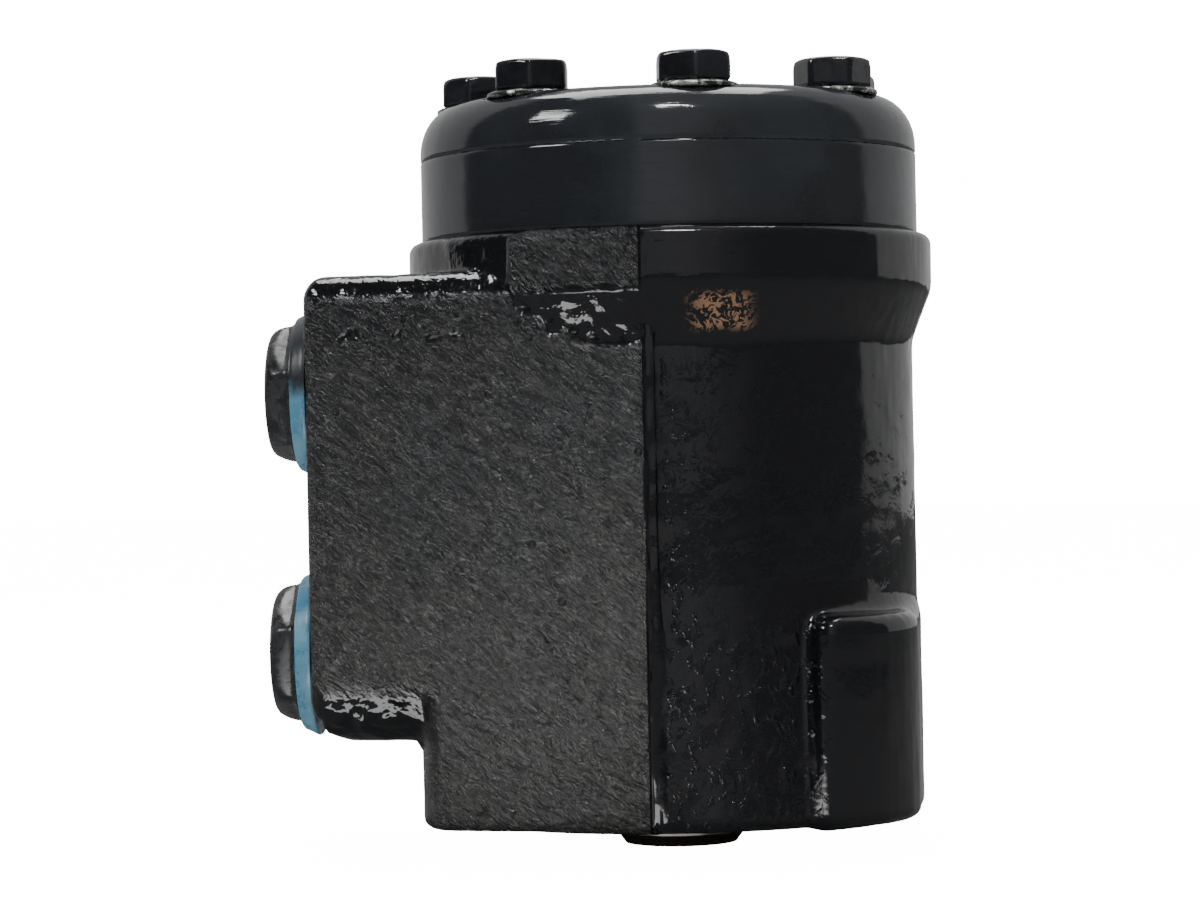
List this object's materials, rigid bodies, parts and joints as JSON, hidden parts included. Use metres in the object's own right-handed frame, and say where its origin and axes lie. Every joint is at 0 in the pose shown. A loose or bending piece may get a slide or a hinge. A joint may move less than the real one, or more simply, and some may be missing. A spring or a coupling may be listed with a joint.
{
  "type": "hydrostatic steering control unit",
  "caption": "Black cast hydraulic steering valve with a tapered port block, screwed port plugs, an orbital gear set under a bolted round cover and a splined steel input hub.",
  "frame": {"origin": "centre of the mounting face, on the input shaft axis", "axes": "+Z along the shaft towards the end cover, -X out of the port face, -Y towards one leaning side face"},
  "size_m": [0.1369, 0.1094, 0.1617],
  "materials": {
    "casting_paint": "gloss black paint over sand-cast iron",
    "machined_paint": "gloss black paint over turned steel",
    "bolt_paint": "gloss black paint",
    "washer_steel": "plated, partly painted over",
    "plug_plastic": "satin moulded",
    "ring_blue": "satin, with paint overspray",
    "hub_steel": "ground and turned",
    "valve_steel": "ground",
    "spring_steel": "oiled, dark",
    "gear_steel": "ground",
    "plate_paint": "gloss black paint on the rim",
    "rubber_black": "oiled rubber",
    "seal_brown": "filled seal ring",
    "ball_steel": "polished"
  },
  "bodies": {
    "casing": {"housing": "casting_paint", "distributor_plate": "plate_paint", "gear_ring": "machined_paint", "end_cover": "machined_paint", "cover_bolts": "bolt_paint", "check_pin_bolt": "bolt_paint", "bolt_washers": "washer_steel", "pressure_port_plug": "plug_plastic", "tank_port_plug": "plug_plastic", "left_port_plug": "plug_plastic", "right_port_plug": "plug_plastic", "pressure_port_seal": "ring_blue", "tank_port_seal": "ring_blue", "left_port_seal": "ring_blue", "right_port_seal": "ring_blue", "bearing_race_outer": "ball_steel", "shaft_seal": "seal_brown", "dust_seal": "rubber_black", "housing_o_ring": "rubber_black", "plate_o_ring": "rubber_black", "cover_o_ring": "rubber_black", "check_valve_bushing": "valve_steel", "ball_stop": "valve_steel", "relief_valve_plug": "bolt_paint", "relief_adjust_screw": "valve_steel", "relief_spring": "spring_steel", "relief_valve_seat": "valve_steel", "shock_plug_left": "bolt_paint", "shock_spring_left": "spring_steel", "shock_plug_right": "bolt_paint", "shock_spring_right": "spring_steel"},
    "sleeve_set": {"sleeve": "valve_steel", "cross_pin": "valve_steel", "centring_springs": "spring_steel", "spring_retaining_ring": "spring_steel", "bearing_race_inner": "ball_steel"},
    "spool": {"spool": "hub_steel"},
    "bearing_cage": {"needle_cage": "valve_steel", "bearing_needles": "ball_steel"},
    "orbit_spacer": {"rotor_spacer": "gear_steel"},
    "rotor": {"rotor": "gear_steel"},
    "cardan": {"cardan_shaft": "gear_steel"},
    "check_ball": {"check_ball": "ball_steel"},
    "relief_poppet": {"relief_poppet": "valve_steel"},
    "shock_ball_left": {"shock_ball_left": "ball_steel"},
    "shock_ball_right": {"shock_ball_right": "ball_steel"},
    "suction_ball_left": {"suction_ball_left": "ball_steel"},
    "suction_ball_right": {"suction_ball_right": "ball_steel"}
  },
  "joints": [
    {"name": "steering_spin", "type": "hinge", "parent": "casing", "child": "sleeve_set", "pos_m": [0, 0, 0.06], "axis": [0, 0, 1], "continuous": true},
    {"name": "valve_deflection", "type": "hinge", "parent": "sleeve_set", "child": "spool", "pos_m": [0, 0, 0.06], "axis": [0, 0, 1], "range_deg": [-10, 10], "stiffness_Nm_per_rad": 8, "deforming": ["centring_springs"]},
    {"name": "cage_spin", "type": "hinge", "parent": "casing", "child": "bearing_cage", "pos_m": [0, 0, 0.0132], "axis": [0, 0, 1], "continuous": true},
    {"name": "orbit", "type": "hinge", "parent": "casing", "child": "orbit_spacer", "pos_m": [0, 0, 0.135], "axis": [0, 0, 1], "continuous": true},
    {"name": "rotor_spin", "type": "hinge", "parent": "orbit_spacer", "child": "rotor", "pos_m": [0.00055, -0.00305, 0.1302], "axis": [0, 0, 1], "continuous": true},
    {"name": "cardan_spin", "type": "hinge", "parent": "orbit_spacer", "child": "cardan", "pos_m": [0, 0, 0.058], "axis": [0.0077, -0.0422, 0.9991], "continuous": true},
    {"name": "check_lift", "type": "slide", "parent": "casing", "child": "check_ball", "axis": [1, 0, 0], "range_m": [0, 0.0015]},
    {"name": "relief_lift", "type": "slide", "parent": "casing", "child": "relief_poppet", "axis": [0, 0, -1], "range_m": [0, 0.002], "stiffness_N_per_m": 2000, "deforming": ["relief_spring"]},
    {"name": "shock_lift_left", "type": "slide", "parent": "casing", "child": "shock_ball_left", "axis": [0, 0, 1], "range_m": [0, 0.0015], "stiffness_N_per_m": 2000, "deforming": ["shock_spring_left"]},
    {"name": "shock_lift_right", "type": "slide", "parent": "casing", "child": "shock_ball_right", "axis": [0, 0, -1], "range_m": [0, 0.0015], "stiffness_N_per_m": 2000, "deforming": ["shock_spring_right"]},
    {"name": "suction_lift_left", "type": "slide", "parent": "casing", "child": "suction_ball_left", "axis": [0, 0, 1], "range_m": [0, 0.003]},
    {"name": "suction_lift_right", "type": "slide", "parent": "casing", "child": "suction_ball_right", "axis": [0, 0, 1], "range_m": [0, 0.003]}
  ],
  "couplings": [
    {"joint": "cage_spin", "follows": "steering_spin", "ratio": 0.5},
    {"joint": "orbit", "follows": "steering_spin", "ratio": -6},
    {"joint": "rotor_spin", "follows": "steering_spin", "ratio": 7},
    {"joint": "cardan_spin", "follows": "steering_spin", "ratio": 7}
  ]
}
